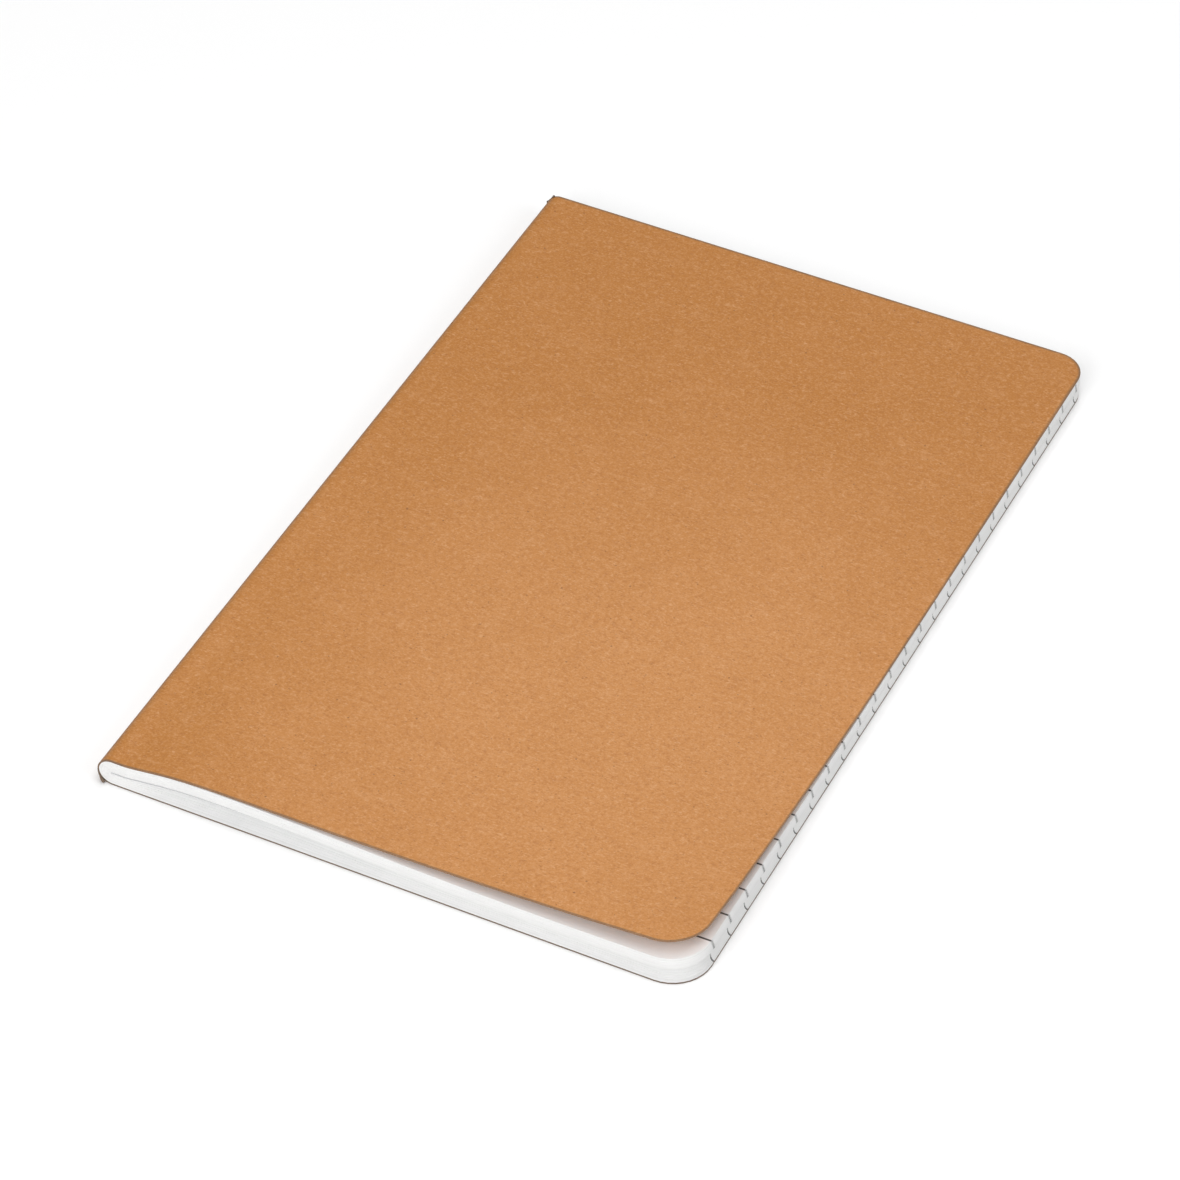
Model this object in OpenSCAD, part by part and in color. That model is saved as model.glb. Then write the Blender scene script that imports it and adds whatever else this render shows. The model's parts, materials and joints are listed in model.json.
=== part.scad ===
// Pocket notebook: kraft card cover, twenty folded sheets of ruled paper, sewn through the fold.
// X runs from the spine to the fore edge, Y along the spine, Z up from the back cover.
// The origin is the middle of the back cover's outer face.

/* [Overall size] */
// Length of the notebook along its spine
book_length = 140; // [100:1:210]
// Width from the spine to the fore edge
book_width = 90; // [60:1:148]
// Radius of the two rounded corners at the fore edge
corner_radius = 5.2; // [0.5:0.1:15]

/* [Cover] */
// Thickness of the cover card
cover_thickness = 0.25; // [0.2:0.01:0.5]
// Distance from the spine to the crease that the front cover opens on
crease_distance = 4; // [3:0.1:10]
// Half of the slit between the cover panel and the strip beside the spine
crease_half_slit = 0.05; // [0.02:0.01:0.2]

/* [Pages] */
// Thickness of one leaf of paper
leaf_thickness = 0.088; // [0.05:0.001:0.092]
// Rise from one leaf to the next in the closed block
leaf_pitch = 0.0925; // [0.0925:0.0005:0.2]
// Gap between the two middle leaves, where the thread lies
centre_gap = 0.3; // [0.26:0.01:1]

/* [Hinge] */
// Distance from the fold axis to the start of each leaf and cover panel
panel_start = 0.4; // [0.3:0.05:1]
// Length of the straight arm at each end of a fold
fold_arm = 0.35; // [0.1:0.05:0.35]

/* [Sewing] */
// Length of one stitch
stitch_length = 5.1; // [3:0.1:12]
// Number of stitches
stitch_count = 26; // [4:1:60]
// Diameter of the needle thread, on the outside of the spine
needle_thread_diameter = 0.3; // [0.15:0.05:0.6]
// Diameter of the bobbin thread, in the middle fold
bobbin_thread_diameter = 0.24; // [0.1:0.02:0.25]
// How far the needle thread is pulled into the card
thread_sink = 0.1; // [0:0.01:0.15]

/* [Front cover shape] */
// Swell of the cover over the folds at the near end
near_swell = 1.4; // [0:0.05:2]
// Distance over which the swell rises from the crease
swell_run = 7; // [4:0.5:20]
// How sharply the swell rises
swell_power = 1.5; // [1:0.1:3]
// How far along the spine the swell reaches
swell_reach = 45; // [20:1:80]
// Extra lift of the near fore-edge corner
corner_curl = 2.1; // [0:0.1:4]
// How sharply the lift grows towards the fore edge
curl_power = 3.2; // [1:0.1:4]
// How far along the fore edge the lift reaches
curl_reach = 30; // [10:1:60]
// How sharply both die away along the spine
reach_power = 1.7; // [1:0.1:3]

/* [Hidden] */
$fa = 4;
$fs = 0.1;
sheet_count = 20;
spine_x = -book_width / 2;
fore_x = book_width / 2;
near_y = -book_length / 2;
inner_half = centre_gap / 2;
block_half = inner_half + sheet_count * leaf_pitch;
axis_z = block_half + cover_thickness;
axis_x = spine_x + axis_z;
book_thickness = 2 * axis_z;
crease_x = spine_x + crease_distance;
first_hole_y = -stitch_count * stitch_length / 2;
// Squares that the front cover's curved surface is made of, along X and along Y
cover_steps_x = 14;
cover_steps_y = 14;
// How far cutting shapes stand past what they cut
past = 1;
kraft = [0.78, 0.56, 0.34];
paper = [0.93, 0.93, 0.92];
thread = [0.36, 0.26, 0.18];

// Height of a leaf's middle above or below the fold axis; sheet 1 is the outermost
function sheet_radius(sheet) = inner_half + leaf_thickness / 2 + (sheet_count - sheet) * leaf_pitch;

// Rise of the front cover above flat, run_x from the crease and run_y from the near end
function swell(run_x, run_y) =
    near_swell * (1 - exp(-pow(run_x / swell_run, swell_power)))
    * exp(-pow(run_y / swell_reach, reach_power));
function curl(run_x, run_y) =
    corner_curl * pow(run_x / (fore_x - crease_x), curl_power)
    * exp(-pow(run_y / curl_reach, reach_power));
function cover_rise(run_x, run_y) = swell(run_x, run_y) + curl(run_x, run_y);

// What one trimmed corner loses
module corner_waste() {
    difference() {
        square([corner_radius + past, corner_radius + past]);
        circle(r = corner_radius);
    }
}

// Outline of a trimmed panel from start_x to the fore edge
module panel_outline(start_x) {
    difference() {
        translate([start_x, near_y]) square([fore_x - start_x, book_length]);
        translate([fore_x - corner_radius, -near_y - corner_radius]) corner_waste();
        translate([fore_x - corner_radius, near_y + corner_radius]) mirror([0, 1]) corner_waste();
    }
}

module flat_panel(start_x, bottom_z, thickness) {
    translate([0, 0, bottom_z]) linear_extrude(thickness) panel_outline(start_x);
}

module front_leaf(sheet) {
    color(paper)
    flat_panel(axis_x + panel_start, axis_z + sheet_radius(sheet) - leaf_thickness / 2, leaf_thickness);
}

module back_leaf(sheet) {
    color(paper)
    flat_panel(axis_x + panel_start, axis_z - sheet_radius(sheet) - leaf_thickness / 2, leaf_thickness);
}

// A half-round fold about the fold axis, with a short straight arm at each end
module fold(middle_radius, thickness) {
    outer = middle_radius + thickness / 2;
    inner = middle_radius - thickness / 2;
    translate([axis_x, -near_y, axis_z])
    rotate([90, 0, 0])
    linear_extrude(book_length) {
        difference() {
            circle(r = outer);
            circle(r = inner);
            translate([0, -outer - past]) square([outer + past, 2 * (outer + past)]);
        }
        translate([0, inner]) square([fold_arm, thickness]);
        translate([0, -outer]) square([fold_arm, thickness]);
    }
}

module back_cover() {
    color(kraft)
    flat_panel(axis_x + panel_start, 0, cover_thickness);
}

module cover_spine() {
    color(kraft)
    fold(axis_z - cover_thickness / 2, cover_thickness);
}

// Narrow strip of card between the spine and the front cover's crease
module front_cover_strip() {
    color(kraft)
    translate([axis_x + panel_start, near_y, book_thickness - cover_thickness])
    cube([crease_x - crease_half_slit - axis_x - panel_start, book_length, cover_thickness]);
}

// The curved front cover before its corners are trimmed
module curved_sheet() {
    start_x = crease_x + crease_half_slit;
    step_x = (fore_x - start_x) / cover_steps_x;
    step_y = book_length / cover_steps_y;
    row = cover_steps_y + 1;
    layer = row * (cover_steps_x + 1);
    points = [
        for (level = [0, 1])
        for (i = [0:cover_steps_x])
        for (j = [0:cover_steps_y])
        [
            start_x + i * step_x,
            near_y + j * step_y,
            book_thickness - cover_thickness * (1 - level) + cover_rise(i * step_x, j * step_y)
        ]
    ];
    bottom_faces = [
        for (i = [0:cover_steps_x - 1])
        for (j = [0:cover_steps_y - 1])
        for (half = [0, 1])
        let (a = i * row + j)
        half == 0 ? [a, a + row, a + row + 1] : [a, a + row + 1, a + 1]
    ];
    top_faces = [for (face = bottom_faces) [face[0] + layer, face[2] + layer, face[1] + layer]];
    last = cover_steps_x * row;
    near_faces = [
        for (i = [0:cover_steps_x - 1])
        let (a = i * row)
        [a, a + layer, a + row + layer, a + row]
    ];
    far_faces = [
        for (i = [0:cover_steps_x - 1])
        let (a = i * row + cover_steps_y)
        [a + row, a + row + layer, a + layer, a]
    ];
    spine_faces = [for (j = [0:cover_steps_y - 1]) [j + 1, j + 1 + layer, j + layer, j]];
    fore_faces = [
        for (j = [0:cover_steps_y - 1])
        let (a = last + j)
        [a, a + layer, a + 1 + layer, a + 1]
    ];
    polyhedron(points, concat(bottom_faces, top_faces, near_faces, far_faces, spine_faces, fore_faces));
}

module front_cover() {
    color(kraft)
    intersection() {
        curved_sheet();
        flat_panel(crease_x, 0, 2 * book_thickness + near_swell + corner_curl);
    }
}

// Twenty nested folds, one to a sheet
module sheet_folds() {
    color(paper)
    for (sheet = [1:sheet_count]) fold(sheet_radius(sheet), leaf_thickness);
}

// Thread outside the spine, with a leg through the folds at every hole and a tail at each end
module needle_thread() {
    run_x = spine_x - needle_thread_diameter / 2 + thread_sink;
    leg_end_x = axis_x - bobbin_thread_diameter / 2 - 0.01;
    color(thread) {
        translate([run_x, -near_y, axis_z])
        rotate([90, 0, 0])
        cylinder(d = needle_thread_diameter, h = book_length);
        for (hole = [0:stitch_count])
        translate([run_x, first_hole_y + hole * stitch_length, axis_z])
        rotate([0, 90, 0])
        cylinder(d = needle_thread_diameter, h = leg_end_x - run_x);
    }
}

// Thread along the middle fold
module bobbin_thread() {
    color(thread)
    translate([axis_x, -first_hole_y + stitch_length / 2, axis_z])
    rotate([90, 0, 0])
    cylinder(d = bobbin_thread_diameter, h = (stitch_count + 1) * stitch_length);
}

back_cover();
cover_spine();
sheet_folds();
needle_thread();
bobbin_thread();
front_cover_strip();
front_cover();
front_leaf(1);  // front_leaf_01
front_leaf(2);  // front_leaf_02
front_leaf(3);  // front_leaf_03
front_leaf(4);  // front_leaf_04
front_leaf(5);  // front_leaf_05
front_leaf(6);  // front_leaf_06
front_leaf(7);  // front_leaf_07
front_leaf(8);  // front_leaf_08
front_leaf(9);  // front_leaf_09
front_leaf(10);  // front_leaf_10
front_leaf(11);  // front_leaf_11
front_leaf(12);  // front_leaf_12
front_leaf(13);  // front_leaf_13
front_leaf(14);  // front_leaf_14
front_leaf(15);  // front_leaf_15
front_leaf(16);  // front_leaf_16
front_leaf(17);  // front_leaf_17
front_leaf(18);  // front_leaf_18
front_leaf(19);  // front_leaf_19
front_leaf(20);  // front_leaf_20
back_leaf(1);  // back_leaf_01
back_leaf(2);  // back_leaf_02
back_leaf(3);  // back_leaf_03
back_leaf(4);  // back_leaf_04
back_leaf(5);  // back_leaf_05
back_leaf(6);  // back_leaf_06
back_leaf(7);  // back_leaf_07
back_leaf(8);  // back_leaf_08
back_leaf(9);  // back_leaf_09
back_leaf(10);  // back_leaf_10
back_leaf(11);  // back_leaf_11
back_leaf(12);  // back_leaf_12
back_leaf(13);  // back_leaf_13
back_leaf(14);  // back_leaf_14
back_leaf(15);  // back_leaf_15
back_leaf(16);  // back_leaf_16
back_leaf(17);  // back_leaf_17
back_leaf(18);  // back_leaf_18
back_leaf(19);  // back_leaf_19
back_leaf(20);  // back_leaf_20
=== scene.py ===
import json
import math
import random

import bpy
import numpy as np
from mathutils import Matrix, Vector


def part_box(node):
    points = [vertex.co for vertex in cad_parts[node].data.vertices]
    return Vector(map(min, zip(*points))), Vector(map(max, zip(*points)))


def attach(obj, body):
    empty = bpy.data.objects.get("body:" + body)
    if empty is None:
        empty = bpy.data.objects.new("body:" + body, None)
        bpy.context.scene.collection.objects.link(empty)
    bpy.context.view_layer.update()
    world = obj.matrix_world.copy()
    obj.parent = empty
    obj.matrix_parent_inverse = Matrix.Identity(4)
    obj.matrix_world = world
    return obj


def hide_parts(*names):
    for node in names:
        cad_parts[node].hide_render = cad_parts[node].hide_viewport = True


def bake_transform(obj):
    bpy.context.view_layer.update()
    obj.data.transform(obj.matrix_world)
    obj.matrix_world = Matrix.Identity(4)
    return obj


# Looks for the pocket notebook: kraft card cover, forty ruled leaves and the sewing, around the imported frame
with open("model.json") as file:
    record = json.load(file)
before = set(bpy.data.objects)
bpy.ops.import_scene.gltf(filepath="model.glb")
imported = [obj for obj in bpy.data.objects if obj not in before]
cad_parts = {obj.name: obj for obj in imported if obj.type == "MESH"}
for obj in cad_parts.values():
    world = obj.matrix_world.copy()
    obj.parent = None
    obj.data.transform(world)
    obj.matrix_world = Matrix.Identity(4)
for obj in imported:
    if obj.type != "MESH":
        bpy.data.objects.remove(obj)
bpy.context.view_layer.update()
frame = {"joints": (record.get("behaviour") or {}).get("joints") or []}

MM = 0.001

# ---------------------------------------------------------------- sizes in metres, from the frame
SHEETS = 20
LEAVES = 2 * SHEETS
spine_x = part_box("cover_spine")[0].x
fore_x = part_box("back_cover")[1].x
near_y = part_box("back_cover")[0].y
far_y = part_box("back_cover")[1].y
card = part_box("back_cover")[1].z
book_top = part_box("cover_spine")[1].z
# The axis that the whole fold turns about, in the middle of the thickness
axis_z = book_top / 2
axis_x = spine_x + axis_z
leaf_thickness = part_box("back_leaf_01")[1].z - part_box("back_leaf_01")[0].z
crease_x = next(j["pos_m"][0] for j in frame["joints"] if j["name"] == "front_cover_open")
crease_reach = fore_x - crease_x

# Sizes that the frame doesn't state. The near corners are cut a little rounder than the far ones, about
# the one radius of the CAD.
near_corner, far_corner = 5.8 * MM, 4.5 * MM
stitch = 5.1 * MM
stitches = 26
first_hole_y = -stitches * stitch / 2


def leaf_radius(sheet):
    """Height of a leaf above or below the fold axis where it leaves the fold."""
    low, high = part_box(f"front_leaf_{sheet:02d}")
    return (low.z + high.z) / 2 - axis_z


# ---------------------------------------------------------------- shape of the card and the block
# The swell and curl of the front cover in millimetres, close to the CAD's. The swell grows slowly enough
# beside the crease for the cover to clear the sewing when it is folded right round.
NEAR_SWELL, SWELL_RUN, SWELL_POWER, SWELL_REACH = 1.4, 6.6, 1.55, 45.0
CORNER_CURL, CURL_POWER, CURL_REACH = 2.1, 3.2, 30.0
REACH_POWER = 1.7
# The pages swell a little less, fall back towards the fore edge and curl up slightly at the corner
PAGE_SWELL, PAGE_SWELL_ENDS, PAGE_FALL_POWER = 1.3, 42.0, 3.0
PAGE_CURL, PAGE_CURL_POWER, PAGE_CURL_REACH = 0.5, 4.0, 25.0
# How far the curled corner of the cover is drawn back towards the spine and the far end, in millimetres,
# and the distance from the near end in which that fades
DRAWN_IN, DRAWN_ALONG, DRAWN_FADES, DRAWN_POWER = 0.3, 0.3, 10.0, 3.0
# How far the swell draws in the fore edge of the cover and of the top page
SWELL_DRAWS_COVER, SWELL_DRAWS_PAGES = 0.22, 0.30
# Distance from the fold, in millimetres, in which the gap at the middle of the block closes
GAP_CLOSES = 34.0


def reach(y, distance):
    """How much of a rise is left at y, from 1 at the near end."""
    run = np.maximum(y - near_y, 0) / MM
    return np.exp(-((run / distance) ** REACH_POWER))


def rising(x):
    """How much of the swell has built up at x, from 0 at the crease."""
    run = np.maximum(x - crease_x, 0) / MM
    return 1 - np.exp(-((run / SWELL_RUN) ** SWELL_POWER))


def cover_rise(x, y):
    """Rise of the front cover above flat."""
    across = np.maximum(x - crease_x, 0) / crease_reach
    swell = NEAR_SWELL * rising(x) * reach(y, SWELL_REACH)
    curl = CORNER_CURL * across**CURL_POWER * reach(y, CURL_REACH)
    return (swell + curl) * MM


def page_rise(x, y):
    """Rise of the top page above flat."""
    run = np.maximum(x - crease_x, 0) / MM
    falls = np.exp(-((run / PAGE_SWELL_ENDS) ** PAGE_FALL_POWER))
    swell = PAGE_SWELL * rising(x) * falls * reach(y, SWELL_REACH)
    curl = PAGE_CURL * (run / (crease_reach / MM)) ** PAGE_CURL_POWER * reach(y, PAGE_CURL_REACH)
    return (swell + curl) * MM


# ---------------------------------------------------------------- meshes
# Rows of points run across the book: this many steps in each corner and from one corner to the other
CORNER_STEPS, STRAIGHT_STEPS = 9, 17
# Columns of points, in millimetres from the fold axis, close together where the panel bends
FLAT_STEPS = np.array(
    [0.25, 0.5, 0.8, 1.2, 1.7, 2.3, 3, 4, 5, 6.5, 8, 10, 12, 15, 19, 24, 30, 37, 45, 54, 62, 69, 75, 79]
)
# The last columns, as shares of the way from the last of those to the trimmed edge
LAST_STEPS = np.linspace(0, 1, 5)[1:]


def corner_rows():
    """Y of each row of points, close together where the corners turn."""
    turn = 1 - np.sin(math.pi / 2 * (1 - np.arange(CORNER_STEPS + 1) / CORNER_STEPS))
    middle = np.linspace(near_y + near_corner, far_y - far_corner, STRAIGHT_STEPS + 1)[1:-1]
    return np.concatenate([near_y + near_corner * turn, middle, far_y - far_corner * turn[::-1]])


ROWS = corner_rows()


def row_end(y):
    """X where a row at y meets the trimmed edge."""
    corner = near_corner if y < (near_y + far_y) / 2 else far_corner
    past = max(near_y + corner - y, y - (far_y - corner), 0)
    return fore_x - corner + math.sqrt(max(corner**2 - past**2, 0))


def out_to_edge(columns):
    """X and Y of every point of the flat run of a panel, out to where each row is trimmed."""
    start = axis_x + FLAT_STEPS[-1] * MM
    rows = [np.concatenate([columns, start + (row_end(y) - start) * LAST_STEPS]) for y in ROWS]
    grid = np.array(rows)
    return grid, np.repeat(ROWS[:, None], grid.shape[1], 1)


def flat_part(height):
    """Middle points of the flat run of a panel, at height(x, y)."""
    grid, ys = out_to_edge(axis_x + FLAT_STEPS * MM)
    return np.stack([grid, ys, height(grid, ys)], -1)


def fold_part(radius, side, steps):
    """Middle points and normals of a quarter fold, from the spine's middle line to where the panel starts,
    and each column's length along the sheet. side is 1 for the front half and -1 for the back half."""
    turns = np.linspace(0, math.pi / 2, steps + 1)
    middles = np.zeros((len(ROWS), steps + 1, 3))
    middles[:, :, 0] = axis_x - radius * np.cos(turns)
    middles[:, :, 1] = ROWS[:, None]
    middles[:, :, 2] = axis_z + side * radius * np.sin(turns)
    normals = np.zeros_like(middles)
    normals[:, :, 0] = -side * np.cos(turns)
    normals[:, :, 2] = np.sin(turns)
    return middles, normals, radius * turns


def facing_up(middles):
    """Upward normals for a grid of points."""
    normals = np.zeros_like(middles)
    normals[:, :, 2] = 1
    return normals


def joined(fold, fold_normals, lengths, flat, side, drift=0.0):
    """One grid from the fold and the flat run, with its normals and its coordinates in millimetres. drift
    moves what is printed towards the far end."""
    middles = np.concatenate([fold, flat], 1)
    normals = np.concatenate([fold_normals, facing_up(flat)], 1)
    uvs = np.zeros(middles.shape[:2] + (2,))
    uvs[:, : fold.shape[1], 0] = lengths / MM
    uvs[:, fold.shape[1]:, 0] = (lengths[-1] + flat[:, :, 0] - axis_x) / MM
    uvs[:, :, 0] *= side
    uvs[:, :, 1] = (middles[:, :, 1] - near_y) / MM - drift
    return middles, normals, uvs


def add_object(name, data):
    """An object with this data, in the scene."""
    obj = bpy.data.objects.new(name, data)
    bpy.context.scene.collection.objects.link(obj)
    return obj


def solid_faces(rows, columns):
    """Faces of a closed solid about a grid of points, with the walls at its cut edges last, the number of
    walls, and the pairs of points that its sharp edges join."""
    count = rows * columns
    index = np.arange(count).reshape(rows, columns)
    a, b, c, d = index[:-1, :-1], index[:-1, 1:], index[1:, 1:], index[1:, :-1]
    top = np.stack([a, b, c, d], -1).reshape(-1, 4)
    bottom = np.stack([d, c, b, a], -1).reshape(-1, 4) + count
    rim = np.concatenate([index[0, :], index[1:, -1], index[-1, -2::-1], index[-2:0:-1, 0]])
    after = np.roll(rim, -1)
    walls = np.stack([after, rim, rim + count, after + count], -1)
    outline = list(zip(rim.tolist(), after.tolist()))
    sharp = {frozenset(pair) for pair in outline}
    sharp |= {frozenset((p + count, q + count)) for p, q in outline}
    # The upright edges at both ends of the first column
    sharp |= {frozenset((int(p), int(p) + count)) for p in (index[0, 0], index[-1, 0])}
    return np.concatenate([top, bottom, walls]), len(walls), sharp


def panel_mesh(name, middles, normals, thickness, uvs, materials, held):
    """A closed thin solid about a grid of middle points. materials are for its two faces and for its cut
    edges, and held is a number for each named attribute the materials read."""
    rows, columns = middles.shape[:2]
    outward = normals * (thickness / 2)
    vertices = np.concatenate([(middles + outward).reshape(-1, 3), (middles - outward).reshape(-1, 3)])
    faces, wall_count, sharp_pairs = solid_faces(rows, columns)
    mesh = bpy.data.meshes.new(name)
    mesh.from_pydata(vertices.tolist(), [], faces.tolist())
    for material in materials:
        mesh.materials.append(material)
    kinds = np.zeros(len(faces), np.int32)
    kinds[-wall_count:] = 1
    mesh.polygons.foreach_set("material_index", kinds)
    mesh.polygons.foreach_set("use_smooth", np.ones(len(faces), bool))
    sharp = [frozenset(e.vertices) in sharp_pairs for e in mesh.edges]
    mesh.attributes.new("sharp_edge", "BOOLEAN", "EDGE").data.foreach_set("value", sharp)
    layer = mesh.uv_layers.new(name="paper_mm")
    loops = np.zeros(len(mesh.loops), np.int32)
    mesh.loops.foreach_get("vertex_index", loops)
    flat = np.concatenate([uvs.reshape(-1, 2), uvs.reshape(-1, 2)])[loops]
    layer.data.foreach_set("uv", flat.astype(np.float32).ravel())
    for label, value in held.items():
        layer = mesh.attributes.new(label, "FLOAT", "POINT")
        layer.data.foreach_set("value", np.full(len(vertices), value, np.float32))
    mesh.validate()
    mesh.update()
    return add_object(name, mesh)


# ---------------------------------------------------------------- materials
class Graph:
    """A short way to write a node tree. Each method adds a node and gives its output."""

    def __init__(self, name):
        self.material = bpy.data.materials.new(name)
        self.material.use_nodes = True
        self.tree = self.material.node_tree
        self.tree.nodes.clear()
        self.out = self.tree.nodes.new("ShaderNodeOutputMaterial")
        self.shader = self.tree.nodes.new("ShaderNodeBsdfPrincipled")
        self.tree.links.new(self.shader.outputs[0], self.out.inputs[0])

    def put(self, socket, value):
        """Links or sets a socket, or leaves it as it is if value is None."""
        if isinstance(value, bpy.types.NodeSocket):
            self.tree.links.new(value, socket)
        elif value is not None:
            socket.default_value = value

    def math(self, operation, a, b=None, c=None):
        node = self.tree.nodes.new("ShaderNodeMath")
        node.operation = operation
        for socket, value in zip(node.inputs, (a, b, c)):
            self.put(socket, value)
        return node.outputs[0]

    def span(self, value, low, high, to_low=0.0, to_high=1.0):
        """value's smooth way from low to high, as a number from to_low to to_high."""
        node = self.tree.nodes.new("ShaderNodeMapRange")
        node.interpolation_type = "SMOOTHSTEP"
        for socket, number in zip(node.inputs, (value, low, high, to_low, to_high)):
            self.put(socket, number)
        return node.outputs[0]

    def coordinates(self):
        """Where a point lies on the flat sheet, in millimetres."""
        node = self.tree.nodes.new("ShaderNodeUVMap")
        node.uv_map = "paper_mm"
        return node.outputs[0]

    def object_place(self):
        """Where a point lies in its object, in metres."""
        return self.tree.nodes.new("ShaderNodeTexCoord").outputs["Object"]

    def split(self, vector):
        node = self.tree.nodes.new("ShaderNodeSeparateXYZ")
        self.put(node.inputs[0], vector)
        return node.outputs

    def placed(self, vector, scale=(1, 1, 1), angle=0.0, shift=(0, 0, 0)):
        node = self.tree.nodes.new("ShaderNodeMapping")
        self.put(node.inputs["Vector"], vector)
        node.inputs["Location"].default_value = shift
        node.inputs["Rotation"].default_value = (0, 0, angle)
        node.inputs["Scale"].default_value = scale
        return node.outputs[0]

    def noise(self, vector, scale=1.0, detail=2.0, roughness=0.5, distortion=0.0):
        node = self.tree.nodes.new("ShaderNodeTexNoise")
        self.put(node.inputs["Vector"], vector)
        node.inputs["Scale"].default_value = scale
        node.inputs["Detail"].default_value = detail
        node.inputs["Roughness"].default_value = roughness
        node.inputs["Distortion"].default_value = distortion
        return node.outputs[0]

    def distance(self, vector, point):
        node = self.tree.nodes.new("ShaderNodeVectorMath")
        node.operation = "DISTANCE"
        self.put(node.inputs[0], vector)
        node.inputs[1].default_value = point
        return node.outputs["Value"]

    def attribute(self, name):
        node = self.tree.nodes.new("ShaderNodeAttribute")
        node.attribute_name = name
        return node.outputs["Fac"]

    def mix(self, share, a, b):
        """Colour a with a share of colour b."""
        node = self.tree.nodes.new("ShaderNodeMix")
        node.data_type = "RGBA"
        self.put(node.inputs[0], share)
        for socket, value in ((node.inputs[6], a), (node.inputs[7], b)):
            self.put(socket, (*value, 1.0) if isinstance(value, tuple) else value)
        return node.outputs[2]

    def bump(self, height, distance, strength):
        node = self.tree.nodes.new("ShaderNodeBump")
        node.inputs["Strength"].default_value = strength
        node.inputs["Distance"].default_value = distance
        self.put(node.inputs["Height"], height)
        return node.outputs[0]

    def finish(self, colour, roughness, normal=None):
        """Gives the shader its colour, roughness and normal, and returns the material."""
        self.put(self.shader.inputs["Base Color"], colour)
        self.put(self.shader.inputs["Roughness"], roughness)
        self.put(self.shader.inputs["Normal"], normal)
        return self.material


# Print on the pages, in millimetres from the near end
FIRST_RULE, RULE_PITCH, RULES = 5.9, 5.352, 25
RULE_WIDTH = 0.30
# A rule is solid out to the first of these shares of its width from its middle line, and gone at the second
RULE_SOLID, RULE_GONE = 0.35, 0.65
RULE_INK = (0.02, 0.018, 0.018)
EDGE_INK = (0.06, 0.062, 0.058)


def rule_mask(g, v, width):
    """1 on a printed rule and 0 between, for a point v millimetres from the near end."""
    from_first = g.math("SUBTRACT", v, FIRST_RULE - RULE_PITCH / 2)
    within = g.math("SUBTRACT", g.math("FLOORED_MODULO", from_first, RULE_PITCH), RULE_PITCH / 2)
    solid = g.math("MULTIPLY", width, RULE_SOLID)
    gone = g.math("MULTIPLY", width, RULE_GONE)
    on = g.span(g.math("ABSOLUTE", within), solid, gone, 1.0, 0.0)
    started = g.math("GREATER_THAN", from_first, 0.0)
    ended = g.math("LESS_THAN", from_first, RULES * RULE_PITCH)
    return g.math("MULTIPLY", on, g.math("MULTIPLY", started, ended))


# Colours of the card, of a painted sheen on it, and of the painted shade on its faces and at the cut edges
KRAFT_DEEP, KRAFT_PAINTED_SHEEN = (0.430, 0.167, 0.027), (0.525, 0.227, 0.064)
KRAFT_LIGHT, KRAFT_DARK, KRAFT_BROWN = (0.74, 0.43, 0.23), (0.35, 0.125, 0.028), (0.22, 0.085, 0.022)
KRAFT_FLECK, KRAFT_PAINTED_SHADE = (0.10, 0.045, 0.02), (0.135, 0.088, 0.05)
CUT_BROWN, CUT_PAINTED_SHADOW = (0.22, 0.125, 0.065), (0.105, 0.085, 0.065)
# Tints of the card, from wide to fine: the texture, the value in it where the tint is full, the share of
# the tint there and its colour. Each tint starts at the texture's middle value.
MIDDLE = 0.50
KRAFT_TINTS = (
    ("patch", 0.72, 0.12, KRAFT_DARK),
    ("patch", 0.28, 0.08, KRAFT_LIGHT),
    ("mottle", 0.76, 0.42, KRAFT_DARK),
    ("mottle", 0.24, 0.24, KRAFT_LIGHT),
    ("grain", 0.74, 0.50, KRAFT_DARK),
    ("grain", 0.26, 0.32, KRAFT_LIGHT),
)
PALE_SHARE, BROWN_SHARE, FLECK_SHARE = 0.38, 0.58, 0.5
# A painted sheen makes the card paler about this point of the panel, in millimetres: fully within the first
# distance, and not beyond the second. The cloud moves that by up to this much either way.
PAINTED_SHEEN_PLACE, PAINTED_SHEEN_FULL, PAINTED_SHEEN_REACH = (66.0, 34.0, 0.0), 12.0, 92.0
CLOUD_MOVES = 0.12
# Length of one half of the cover, from the middle of the spine to the fore edge, in millimetres
HALF_LENGTH = (math.pi / 2 * (axis_z - card / 2) + fore_x - axis_x) / MM
# Painted shade in millimetres: how far in from the cut it is dark, and the dark shoulder along each side
# of the spine
RIM_DARK, RIM_CLEAR_NEAR, RIM_CLEAR_FAR = 0.06, 0.34, 0.55
SHOULDER_STARTS, SHOULDER_FULL, SHOULDER_FADES, SHOULDER_ENDS = 0.0, 1.1, 1.2, 2.6
RIM_SHARE, SHOULDER_SHARE = 0.8, 0.62
# The rim starts to widen at this share of the length, and the painted shade is this uneven from patch to patch
RIM_WIDENS, PAINTED_SHADE_LEAST, PAINTED_SHADE_MOST = 0.35, 0.75, 1.0
# Relief of the card: the share of each texture, its depth in metres and its strength
MOTTLE_RELIEF, GRAIN_RELIEF, FIBRE_RELIEF = 0.6, 0.4, 0.3
KRAFT_DEPTH, KRAFT_STRENGTH = 0.010 * MM, 0.7
KRAFT_SMOOTHEST, KRAFT_ROUGHEST = 0.55, 0.70
# Shares of the cut edge's colour, partly its own and partly painted shade, over the card's
CUT_LEAST, CUT_MOST = 0.82, 0.94
# Step in a strand's noise from bare card to full strand, and how much it winds
STRAND_SOFTNESS, STRAND_WINDS = 0.13, 0.35


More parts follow.
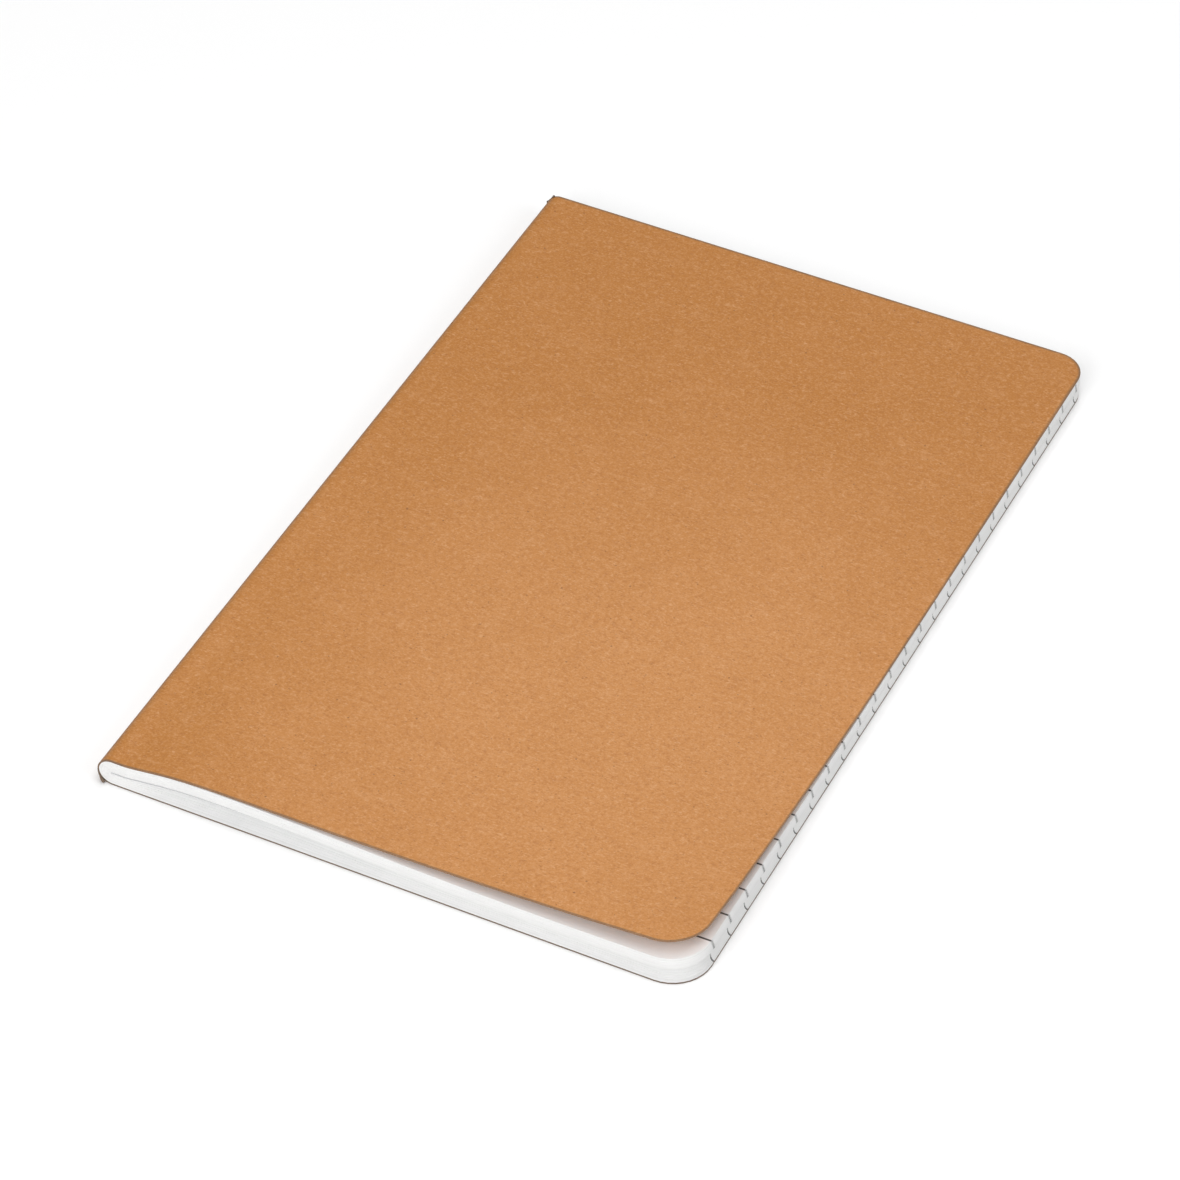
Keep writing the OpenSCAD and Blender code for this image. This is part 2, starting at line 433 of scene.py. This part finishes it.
def fibres(g, where, length, width, threshold, angles, seed):
    """Fine strands lying at several angles."""
    total = None
    for k, angle in enumerate(angles):
        bent = g.placed(where, (1 / length, 1 / width, 1), angle, (seed + 3.7 * k, 1.9 * k, 0))
        waves = g.noise(bent, scale=1.0, detail=1.5, roughness=0.5, distortion=STRAND_WINDS)
        strand = g.span(waves, threshold, threshold + STRAND_SOFTNESS)
        total = strand if total is None else g.math("MAXIMUM", total, strand)
    return total


def from_cut_edge(g, where):
    """Distance in millimetres from the trimmed outline, out to the corner radius."""
    u, v = g.split(where)[:2]
    half = (far_y - near_y) / 2 / MM
    # The near and far corners differ, and the radius changes over the middle of the card, away from both
    radius = g.span(v, 0.4 * half, 1.6 * half, near_corner / MM, far_corner / MM)
    across = g.math("ADD", g.math("SUBTRACT", g.math("ABSOLUTE", u), HALF_LENGTH), radius)
    across = g.math("MAXIMUM", across, 0.0)
    along = g.math("ABSOLUTE", g.math("SUBTRACT", v, half))
    along = g.math("MAXIMUM", g.math("ADD", g.math("SUBTRACT", along, half), radius), 0.0)
    out = g.math("ADD", g.math("MULTIPLY", across, across), g.math("MULTIPLY", along, along))
    return g.math("SUBTRACT", radius, g.math("SQRT", out))


def painted_shade_face(g, where, textures, base):
    """The face of the card with painted shade: dark at its cut edges and along both shoulders of the spine."""
    length = (far_y - near_y) / MM
    clear = g.span(g.split(where)[1], RIM_WIDENS * length, length, RIM_CLEAR_NEAR, RIM_CLEAR_FAR)
    rim = g.span(from_cut_edge(g, where), RIM_DARK, clear, RIM_SHARE, 0.0)
    from_spine = g.math("ABSOLUTE", g.split(where)[0])
    comes = g.span(from_spine, SHOULDER_STARTS, SHOULDER_FULL)
    goes = g.span(from_spine, SHOULDER_FADES, SHOULDER_ENDS, SHOULDER_SHARE, 0.0)
    # Painted shade: the dark rim at the cut edges and the dark shoulders beside the spine
    painted_shade = g.math("MAXIMUM", rim, g.math("MULTIPLY", comes, goes))
    uneven = g.span(textures["patch"], 0.2, 0.7, PAINTED_SHADE_LEAST, PAINTED_SHADE_MOST)
    return g.mix(g.math("MULTIPLY", painted_shade, uneven), base, KRAFT_PAINTED_SHADE)


def cut_edge(g, where, textures, base):
    """The cut edge of the card, with its plies showing, in a brown partly its own and partly painted shade.
    Its tone runs from that brown to the grey of a painted shadow.
    """
    plies = g.noise(g.placed(where, (0.4, 0.4, 1)), scale=9.0, detail=2.0)
    # Painted shadow: by the piece's tone the cut edge turns from brown to grey, greyest on the back cover
    colour = g.mix(g.attribute("tone"), CUT_BROWN, CUT_PAINTED_SHADOW)
    return g.mix(g.span(plies, 0.3, 0.7, CUT_LEAST, CUT_MOST), base, colour)


def kraft_colour(g, where, textures, pale):
    """The card's colour before its painted shade: partly a painted sheen, tinted by each texture, with fibres
    and flecks.
    """
    cloud = g.noise(where, scale=0.05, detail=3.0, roughness=0.55)
    angles = (0.5, 1.35, 2.25)
    brown = fibres(g, where, length=0.62, width=0.19, threshold=0.65, angles=angles, seed=20.0)
    flecks = g.span(g.noise(g.placed(where, shift=(41, 17, 0)), scale=1.9, detail=0.0), 0.815, 0.85)
    # Painted sheen: the card is paler about a point of the panel, and the cloud moves the sheen's edge
    painted_sheen = g.span(g.distance(where, PAINTED_SHEEN_PLACE), PAINTED_SHEEN_REACH, PAINTED_SHEEN_FULL)
    painted_sheen = g.math("ADD", painted_sheen, g.span(cloud, 0.3, 0.7, -CLOUD_MOVES, CLOUD_MOVES))
    base = g.mix(painted_sheen, KRAFT_DEEP, KRAFT_PAINTED_SHEEN)
    for texture, full_at, share, colour in KRAFT_TINTS:
        base = g.mix(g.span(textures[texture], MIDDLE, full_at, 0.0, share), base, colour)
    base = g.mix(g.math("MULTIPLY", pale, PALE_SHARE), base, KRAFT_LIGHT)
    base = g.mix(g.math("MULTIPLY", brown, BROWN_SHARE), base, KRAFT_BROWN)
    return g.mix(g.math("MULTIPLY", flecks, FLECK_SHARE), base, KRAFT_FLECK)


def kraft(name, painted_shade_look):
    """Kraft card, as the given look(g, where, textures, base) shows it with its painted shade."""
    g = Graph(name)
    where = g.coordinates()
    textures = {
        "patch": g.noise(where, scale=0.28, detail=3.0, roughness=0.6),
        "mottle": g.noise(where, scale=1.2, detail=2.0, roughness=0.6),
        "grain": g.noise(where, scale=2.9, detail=3.0, roughness=0.72),
    }
    mottle, grain = textures["mottle"], textures["grain"]
    angles = (0.15, 0.95, 1.75, 2.6)
    pale = fibres(g, where, length=1.0, width=0.19, threshold=0.635, angles=angles, seed=0.0)
    base = painted_shade_look(g, where, textures, kraft_colour(g, where, textures, pale))
    relief = g.math("MULTIPLY", mottle, MOTTLE_RELIEF)
    relief = g.math("ADD", relief, g.math("MULTIPLY", grain, GRAIN_RELIEF))
    relief = g.math("ADD", relief, g.math("MULTIPLY", pale, FIBRE_RELIEF))
    rough = g.span(grain, 0.3, 0.7, KRAFT_SMOOTHEST, KRAFT_ROUGHEST)
    return g.finish(base, rough, g.bump(relief, KRAFT_DEPTH, KRAFT_STRENGTH))


# Colours of the paper: mostly light, clouded in places, and with shade in its grain, more in some leaves
FACE_LIGHT, FACE_CLOUD, FACE_SHADE = (0.868, 0.870, 0.876), (0.85, 0.853, 0.86), (0.795, 0.798, 0.802)
CUT_LIGHT, CUT_CLOUD, CUT_SHADE = (0.86, 0.858, 0.85), (0.83, 0.828, 0.82), (0.72, 0.715, 0.70)
GRAIN_SHARE = 0.10
PAPER_SMOOTHEST, PAPER_ROUGHEST = 0.78, 0.9
PAPER_DEPTH, PAPER_STRENGTH = 0.004 * MM, 0.6
# Least and most share of ink within a rule on a page
INK_LEAST, INK_MOST = 0.8, 0.95


def face_print(g, where):
    """Share of ink on a page, slightly broken by the paper."""
    broken = g.span(g.noise(where, scale=9.0, detail=2.0), 0.25, 0.5, INK_LEAST, INK_MOST)
    return g.math("MULTIPLY", rule_mask(g, g.split(where)[1], RULE_WIDTH), broken)


def edge_print(g, where):
    """Share of ink on a cut edge, where each rule leaves a mark."""
    mask = rule_mask(g, g.split(where)[1], g.attribute("ink_width"))
    return g.math("MULTIPLY", mask, g.attribute("ink"))


def paper(name, light, clouded, shade, printed, ink):
    """White paper with printed(g, where) as its share of ink."""
    g = Graph(name)
    where = g.coordinates()
    cloud = g.noise(where, scale=0.12, detail=3.0)
    grain = g.noise(where, scale=6.0, detail=3.0, roughness=0.6)
    base = g.mix(g.span(cloud, 0.35, 0.65), light, clouded)
    base = g.mix(g.attribute("tone"), base, shade)
    base = g.mix(g.math("MULTIPLY", g.span(grain, 0.4, 0.7), GRAIN_SHARE), base, shade)
    base = g.mix(printed(g, where), base, ink)
    rough = g.span(grain, 0.3, 0.7, PAPER_SMOOTHEST, PAPER_ROUGHEST)
    return g.finish(base, rough, g.bump(grain, PAPER_DEPTH, PAPER_STRENGTH))


THREAD_DARK, THREAD_LIGHT, THREAD_HAIR = (0.12, 0.082, 0.055), (0.185, 0.13, 0.088), (0.27, 0.20, 0.145)
HAIR_SHARE = 0.5
THREAD_ROUGHNESS, THREAD_DEPTH, THREAD_STRENGTH = 0.75, 0.02 * MM, 0.7


def thread_material():
    """Brown sewing thread with fine hairs along it."""
    g = Graph("sewing_thread")
    where = g.placed(g.object_place(), (1 / MM, 1 / MM, 1 / MM))
    stretched = g.placed(where, (14, 2.2, 14))
    hair = g.noise(stretched, scale=1.0, detail=3.0, roughness=0.6, distortion=0.4)
    tone = g.noise(where, scale=0.35, detail=2.0)
    base = g.mix(g.span(tone, 0.3, 0.7), THREAD_DARK, THREAD_LIGHT)
    base = g.mix(g.math("MULTIPLY", g.span(hair, 0.45, 0.7), HAIR_SHARE), base, THREAD_HAIR)
    return g.finish(base, THREAD_ROUGHNESS, g.bump(hair, THREAD_DEPTH, THREAD_STRENGTH))


kraft_looks = (kraft("kraft_card", painted_shade_face), kraft("kraft_card_cut_edge", cut_edge))
paper_looks = (
    paper("ruled_paper", FACE_LIGHT, FACE_CLOUD, FACE_SHADE, face_print, RULE_INK),
    paper("ruled_paper_cut_edge", CUT_LIGHT, CUT_CLOUD, CUT_SHADE, edge_print, EDGE_INK),
)
thread_look = thread_material()

# ---------------------------------------------------------------- cover
COVER_FOLD_STEPS, STRIP_STEPS = 14, 5
# Columns past the crease, in millimetres, close together beside it
CREASE_STEPS = np.array([0, 0.15, 0.3, 0.45, 0.6, 0.8, 1.0, 1.25, 1.5])
LEAST_STEP = 0.2
card_radius = axis_z - card / 2
front_z = book_top - card / 2


def back_cover_piece():
    """The back panel with its half of the spine."""
    flat = flat_part(lambda x, y: np.full_like(x, card / 2))
    middles, normals, uvs = joined(*fold_part(card_radius, -1, COVER_FOLD_STEPS), flat, -1)
    # The back cover's tone of 1 gives its cut edge the grey of a painted shadow where it lies on the floor
    back = panel_mesh("back_cover_card", middles, normals, card, uvs, kraft_looks, {"tone": 1.0})
    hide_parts("back_cover", "cover_spine")
    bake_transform(back)


def spine_piece():
    """The front half of the spine, out to the crease."""
    grid = np.repeat(np.linspace(axis_x, crease_x, STRIP_STEPS + 1)[None, 1:], len(ROWS), 0)
    ys = np.repeat(ROWS[:, None], STRIP_STEPS, 1)
    flat = np.stack([grid, ys, front_z + cover_rise(grid, ys)], -1)
    middles, normals, uvs = joined(*fold_part(card_radius, 1, COVER_FOLD_STEPS), flat, 1)
    # The spine's tone of 0.6 gives its cut edge mostly the grey of a painted shadow
    strip = panel_mesh("spine_card", middles, normals, card, uvs, kraft_looks, {"tone": 0.6})
    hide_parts("cover_spine", "front_cover_strip")
    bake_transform(strip)


def front_cover_piece():
    """The front panel from the crease to the fore edge, with its swell and its curled corner."""
    near_crease = crease_x + CREASE_STEPS * MM
    columns = axis_x + FLAT_STEPS * MM
    columns = columns[columns > near_crease[-1] + LEAST_STEP * MM]
    grid, ys = out_to_edge(np.concatenate([near_crease, columns]))
    fading = np.exp(-(((ys - near_y) / MM / DRAWN_FADES) ** DRAWN_POWER))
    across = ((grid - crease_x) / crease_reach) ** 2 * MM
    back_in = across * (DRAWN_IN * fading + SWELL_DRAWS_COVER * reach(ys, SWELL_REACH))
    heights = front_z + cover_rise(grid, ys)
    middles = np.stack([grid - back_in, ys + DRAWN_ALONG * across * fading, heights], -1)
    uvs = np.stack([(math.pi / 2 * card_radius + grid - axis_x) / MM, (ys - near_y) / MM], -1)
    normals = facing_up(middles)
    front = panel_mesh("front_cover_card", middles, normals, card, uvs, kraft_looks, {"tone": 0.0})
    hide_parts("front_cover")
    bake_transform(front)


back_cover_piece()
spine_piece()
front_cover_piece()

# ---------------------------------------------------------------- leaves
draw = random.Random(7)
# How far each sheet lies from true along the spine, and each leaf across it, in millimetres
ALONG_LOW, ALONG_HIGH = -0.025, 0.025
ACROSS_LOW, ACROSS_HIGH = -0.02, 0.015
MOST_TONE = 0.5
BEND_PAST_FOLD = 2.0 * MM
# Steps around the fold of a leaf: the fewest, and how they grow with its radius
FOLD_LEAST, FOLD_BASE, FOLD_GROWS = 3, 2, 8
# Share of the block's height by which its swell has built up, and how it builds
LOWER_HALF_TAKES, LIFT_POWER = 0.5, 1.2
# The upper half lies tight under its top page, and the lower half takes this slack
CENTRE_SLACK = 0.15 * MM
# Depths in the block, as shares of it, where the marks left by the rules on the fore edge change
TOP_MARKS_END, UPPER_MARKS_END, LOWER_MARKS_START = 0.03, 0.55, 0.61
# The marks on the top leaf, and between the upper and the lower half where none show: drift, width and ink
TOP_MARKS, NO_MARKS = (0.0, 0.20, 0.9), (-0.4, 0.3, 0.0)
# In the upper half the marks lean, and are wide and faint. In the lower half they start again on the other
# side of the rule, lean more and more, and are narrow and soon dark.
UPPER_DRIFT, UPPER_LEAN, UPPER_WIDTH, UPPER_INK, UPPER_DARKENS = 0.1, 1.3, 0.62, 0.30, 0.25
LOWER_DRIFT, LOWER_LEAN, LOWER_CURVE, LOWER_WIDTH = -0.34, 1.05, 1.7, 0.22
LOWER_INK, LOWER_DARKENS, LOWER_DARKEST = 0.5, 2.0, 0.9


def mark_at(depth):
    """How far a leaf's rules lie from the top leaf's and how wide they show at the cut edge, in millimetres,
    and how dark they are there; depth is 0 at the top of the block and 1 at its bottom."""
    if depth < TOP_MARKS_END:
        return TOP_MARKS
    if depth < UPPER_MARKS_END:
        return UPPER_DRIFT + UPPER_LEAN * depth, UPPER_WIDTH, UPPER_INK + UPPER_DARKENS * depth
    if depth < LOWER_MARKS_START:
        return NO_MARKS
    low = (depth - LOWER_MARKS_START) / (1 - LOWER_MARKS_START)
    drift = LOWER_DRIFT + LOWER_LEAN * low**LOWER_CURVE
    return drift, LOWER_WIDTH, min(LOWER_DARKEST, LOWER_INK + LOWER_DARKENS * low)


def leaf_height(side, sheet, share):
    """Height of a leaf over x and y, where share is its place in the block from 0 at the bottom to 1."""
    even_z = card + share * (book_top - 2 * card) + CENTRE_SLACK * (1 - abs(2 * share - 1))
    fold_z = axis_z + side * leaf_radius(sheet)
    lifted = min(1.0, share / LOWER_HALF_TAKES) ** LIFT_POWER

    def height(x, y):
        opened = np.clip(1 - (x - axis_x) / (GAP_CLOSES * MM), 0, 1)
        opened = opened * opened * (3 - 2 * opened)
        return even_z + (fold_z - even_z) * opened + lifted * page_rise(x, y)

    return height


def leaf_piece(side, sheet, shift_y, tone):
    """One leaf with its half of the fold. side is 1 for the sheet's front leaf and -1 for its back leaf."""
    label = "front" if side > 0 else "back"
    radius = leaf_radius(sheet)
    leaves_below = LEAVES - sheet if side > 0 else sheet - 1
    share = (leaves_below + 0.5) / LEAVES
    shift_x = draw.uniform(ACROSS_LOW, ACROSS_HIGH) * MM
    flat = flat_part(leaf_height(side, sheet, share))
    away = np.clip((flat[:, :, 0] - axis_x) / (fore_x - axis_x), 0, 1)
    drawn = SWELL_DRAWS_PAGES * MM * share * reach(flat[:, :, 1], SWELL_REACH)
    flat[:, :, 0] += shift_x * away - drawn * away**2
    drift, ink_width, ink = mark_at(1 - share)
    steps = max(FOLD_LEAST, round(FOLD_BASE + FOLD_GROWS * radius / axis_z))
    middles, normals, uvs = joined(*fold_part(radius, side, steps), flat, side, drift)
    middles[:, :, 1] += shift_y
    name = f"{label}_leaf_sheet_{sheet:02d}"
    held = {"tone": tone, "ink": ink, "ink_width": ink_width}
    piece = panel_mesh(name, middles, normals, leaf_thickness, uvs, paper_looks, held)
    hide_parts(f"{label}_leaf_{sheet:02d}", "sheet_folds")
    start, end = (axis_x - radius, 0, 0), (axis_x + BEND_PAST_FOLD, 0, 0)
    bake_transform(piece)
    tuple(start)
    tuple(end)


for sheet in range(1, SHEETS + 1):
    shift_y, tone = draw.uniform(ALONG_LOW, ALONG_HIGH) * MM, draw.uniform(0.0, MOST_TONE)
    for side in (1, -1):
        leaf_piece(side, sheet, shift_y, tone)

# ---------------------------------------------------------------- sewing
PLIES, POINTS_AROUND = 3, 15
# Share of the thread's radius left in the grooves between its plies
GROOVE = 0.80
# Radius of each thread, and its twist in radians to a metre
NEEDLE_RADIUS, NEEDLE_TWIST = 0.15 * MM, 5200.0
BOBBIN_RADIUS, BOBBIN_TWIST = 0.12 * MM, 6000.0
# How far each thread sinks in at a hole, and the width of that dip
NEEDLE_SINKS, NEEDLE_DIP = 0.30 * MM, 0.55 * MM
BOBBIN_SINKS, BOBBIN_DIP = 0.10 * MM, 0.5 * MM
# The stitches stop this far short of both ends of the spine, and each thread's points are this far apart
NEEDLE_MARGIN, NEEDLE_STEP, BOBBIN_STEP = 0.5 * MM, 0.12 * MM, 0.15 * MM
# Tails: angles in degrees above the middle line of the spine, and how far in from its ends they lie,
# in millimetres. The near one hangs past the end.
NEAR_TAIL, NEAR_TAIL_POINTS, NEAR_TAIL_FROM, NEAR_TAIL_TO = (-60, -6), 16, -0.30, 0.18
FAR_TAIL, FAR_TAIL_POINTS, FAR_TAIL_IN = (6, 62), 18, 0.15
NEAR_TAIL_STANDS = 0.05
# The far tail stands off the card at its ends, and dips to be pressed into it about the middle
FAR_TAIL_STANDS, FAR_TAIL_DIP, FAR_DIP_MIDDLE, FAR_DIP_WIDTH, FAR_DIP_POWER = 0.13, 0.16, 36, 15, 4
# Radius of the tails and of the knots on them, as shares of the thread's
TAIL_RADIUS = 0.62
NEAR_KNOT, FAR_KNOT = (1.0, 1.5, 1.65, 1.5, 1.3, 1.2, 1.0), (1.0, 1.5, 1.1)
SMALL_KNOT, SMALL_KNOT_PLACE = 1.35, 3


def thread_mesh(name, path, radius, twist):
    """A twisted thread of three plies along a path, with a radius at each of its points."""
    tangents = np.gradient(path, axis=0)
    tangents /= np.linalg.norm(tangents, axis=1)[:, None]
    # The rings are turned by the way out from a line inside the book
    inside = np.stack([np.full(len(path), axis_x + axis_z), path[:, 1], np.full(len(path), axis_z)], -1)
    side = np.cross(tangents, path - inside)
    side /= np.linalg.norm(side, axis=1)[:, None]
    up = np.cross(side, tangents)
    lengths = np.concatenate([[0], np.cumsum(np.linalg.norm(np.diff(path, axis=0), axis=1))])
    turns = np.linspace(0, 2 * math.pi, POINTS_AROUND, endpoint=False)
    swept = turns[None, :] + twist * lengths[:, None]
    girth = radius[:, None] * (GROOVE + (1 - GROOVE) * np.abs(np.cos(PLIES / 2 * turns)))[None, :]
    rings = (
        path[:, None, :]
        + side[:, None, :] * (girth * np.cos(swept))[:, :, None]
        + up[:, None, :] * (girth * np.sin(swept))[:, :, None]
    )
    index = np.arange(len(path) * POINTS_AROUND).reshape(len(path), POINTS_AROUND)
    right = np.roll(index, -1, 1)
    sides = np.stack([index[:-1], right[:-1], right[1:], index[1:]], -1).reshape(-1, 4)
    faces = sides.tolist() + [index[0, ::-1].tolist(), index[-1].tolist()]
    mesh = bpy.data.meshes.new(name)
    mesh.from_pydata(rings.reshape(-1, 3).tolist(), [], faces)
    mesh.materials.append(thread_look)
    mesh.polygons.foreach_set("use_smooth", np.ones(len(faces), bool))
    mesh.validate()
    mesh.update()
    thread = add_object(name, mesh)
    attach(thread, "spine")
    return thread


def around_nose(degrees, y, stands):
    """Points over the outside of the spine, by angle above its middle line, that stand this far off it."""
    angles = np.radians(degrees)
    out = axis_z + stands
    ys = np.zeros_like(angles) + y
    return np.stack([axis_x - out * np.cos(angles), ys, axis_z + out * np.sin(angles)], -1)


def dips(ys, depth, width):
    """How far a thread is drawn in at each y, most at the holes."""
    phase = (ys - first_hole_y) / stitch
    to_hole = np.abs(phase - np.round(phase)) * stitch
    return np.exp(-((to_hole / width) ** 2)) * depth


def needle_thread():
    """The stitches outside the spine. At both ends the thread turns across the fold and ends in a knot."""
    ys = np.arange(near_y + NEEDLE_MARGIN, far_y - NEEDLE_MARGIN, NEEDLE_STEP)
    sewn = (ys > first_hole_y - stitch / 2) & (ys < -first_hole_y + stitch / 2)
    sink = np.where(sewn, dips(ys, NEEDLE_SINKS, NEEDLE_DIP), 0)
    run = np.stack([spine_x + sink, ys, np.full_like(ys, axis_z)], -1)
    near_turned = np.linspace(*NEAR_TAIL, NEAR_TAIL_POINTS)
    near_ys = near_y + np.linspace(NEAR_TAIL_FROM, NEAR_TAIL_TO, NEAR_TAIL_POINTS) * MM
    near_tail = around_nose(near_turned, near_ys, NEAR_TAIL_STANDS * MM)
    far_turned = np.linspace(*FAR_TAIL, FAR_TAIL_POINTS)
    pressed = np.exp(-(((far_turned - FAR_DIP_MIDDLE) / FAR_DIP_WIDTH) ** FAR_DIP_POWER))
    far_stands = (FAR_TAIL_STANDS - FAR_TAIL_DIP * pressed) * MM
    far_tail = around_nose(far_turned, far_y - FAR_TAIL_IN * MM, far_stands)
    path = np.concatenate([near_tail, run, far_tail])
    girth = np.ones(len(path))
    girth[: len(near_tail)] = girth[-len(far_tail):] = TAIL_RADIUS
    girth[: len(NEAR_KNOT)] = NEAR_KNOT
    girth[-len(FAR_KNOT):] = FAR_KNOT
    girth[len(near_tail) + len(run) + SMALL_KNOT_PLACE] = SMALL_KNOT
    outer = thread_mesh("needle_thread_run", path, NEEDLE_RADIUS * girth, NEEDLE_TWIST)
    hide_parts("needle_thread")


def bobbin_thread():
    """The thread along the middle fold."""
    ys = np.arange(first_hole_y - stitch / 2, -first_hole_y + stitch / 2, BOBBIN_STEP)
    path = np.stack([axis_x - dips(ys, BOBBIN_SINKS, BOBBIN_DIP), ys, np.full_like(ys, axis_z)], -1)
    inner = thread_mesh("bobbin_thread_run", path, np.full(len(path), BOBBIN_RADIUS), BOBBIN_TWIST)
    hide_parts("bobbin_thread")


needle_thread()
bobbin_thread()

# ---------------------------------------------------------------- camera, light and floor
VIEW_AZIMUTH, VIEW_ELEVATION, VIEW_ROLL = (math.radians(a) for a in (24.912, 42.312, 1.309))
VIEW_DISTANCE = 0.7395
VIEW_TARGET = Vector((-1.631 * MM, -4.762 * MM, 0))
LENS, SENSOR = 157.8, 36.0
NEAREST, FARTHEST = 0.01, 20
# Each light's name, place, size, power in watts and the point it faces
LIGHTS = (
    ("overhead", (0.08, -0.12, 1.05), (1.0, 1.7), 9.4, (0.08, -0.12, 0)),
    ("front", (-0.1, -1.1, 0.75), (0.9, 0.7), 8.6, (0, 0, 0)),
    ("back", (-0.05, 0.9, 1.05), (0.9, 0.5), 2.4, (0, 0, 0)),
    ("right", (1.05, -0.1, 0.7), (0.6, 0.6), 3.0, (0, 0, 0)),
)
SKY_STRENGTH = 0.19
# The floor is a square about the book, just below it
FLOOR_HALF, FLOOR_BELOW = 6.0, 0.02 * MM
FLOOR_DARK, FLOOR_LIGHT, FLOOR_ROUGHNESS = (0.90, 0.90, 0.90), (0.92, 0.92, 0.92), 0.9


def add_camera():
    """A long lens from the side and height of the photograph, with its slight roll."""
    az, el, roll = VIEW_AZIMUTH, VIEW_ELEVATION, VIEW_ROLL
    back = Vector((math.sin(az) * math.cos(el), -math.cos(az) * math.cos(el), math.sin(el)))
    right = Vector((math.cos(az), math.sin(az), 0))
    up = back.cross(right)
    across = right * math.cos(roll) + up * math.sin(roll)
    upward = up * math.cos(roll) - right * math.sin(roll)
    data = bpy.data.cameras.new("camera")
    data.lens, data.sensor_width = LENS, SENSOR
    data.clip_start, data.clip_end = NEAREST, FARTHEST
    camera = add_object("camera", data)
    turn = Matrix((across, upward, back)).transposed()
    camera.matrix_world = Matrix.Translation(VIEW_TARGET + back * VIEW_DISTANCE) @ turn.to_4x4()
    bpy.context.scene.camera = camera


def add_light(name, place, size, power, aim):
    """An area light that faces the point aim."""
    data = bpy.data.lights.new(name, "AREA")
    data.shape, data.energy = "RECTANGLE", power
    data.size, data.size_y = size
    light = add_object(name, data)
    light.location = place
    light.rotation_mode = "QUATERNION"
    light.rotation_quaternion = (Vector(aim) - Vector(place)).to_track_quat("-Z", "Y")


def add_world():
    """Even white light from all round."""
    world = bpy.data.worlds.new("studio")
    world.use_nodes = True
    sky = world.node_tree.nodes["Background"]
    sky.inputs[0].default_value = (1, 1, 1, 1)
    sky.inputs[1].default_value = SKY_STRENGTH
    bpy.context.scene.world = world
    bpy.context.scene.view_settings.view_transform = "Standard"


def floor_material():
    """A pale matt floor, very slightly uneven."""
    g = Graph("pale_floor")
    cloud = g.noise(g.object_place(), scale=3.0, detail=2.0)
    return g.finish(g.mix(cloud, FLOOR_DARK, FLOOR_LIGHT), FLOOR_ROUGHNESS)


def add_floor():
    """A wide flat floor for the book to lie on."""
    half, z = FLOOR_HALF, -FLOOR_BELOW
    corners = [(-half, -half, z), (half, -half, z), (half, half, z), (-half, half, z)]
    mesh = bpy.data.meshes.new("floor")
    mesh.from_pydata(corners, [], [(0, 1, 2, 3)])
    mesh.materials.append(floor_material())
    floor = add_object("floor", mesh)


add_camera()
for light in LIGHTS:
    add_light(*light)
add_world()
add_floor()
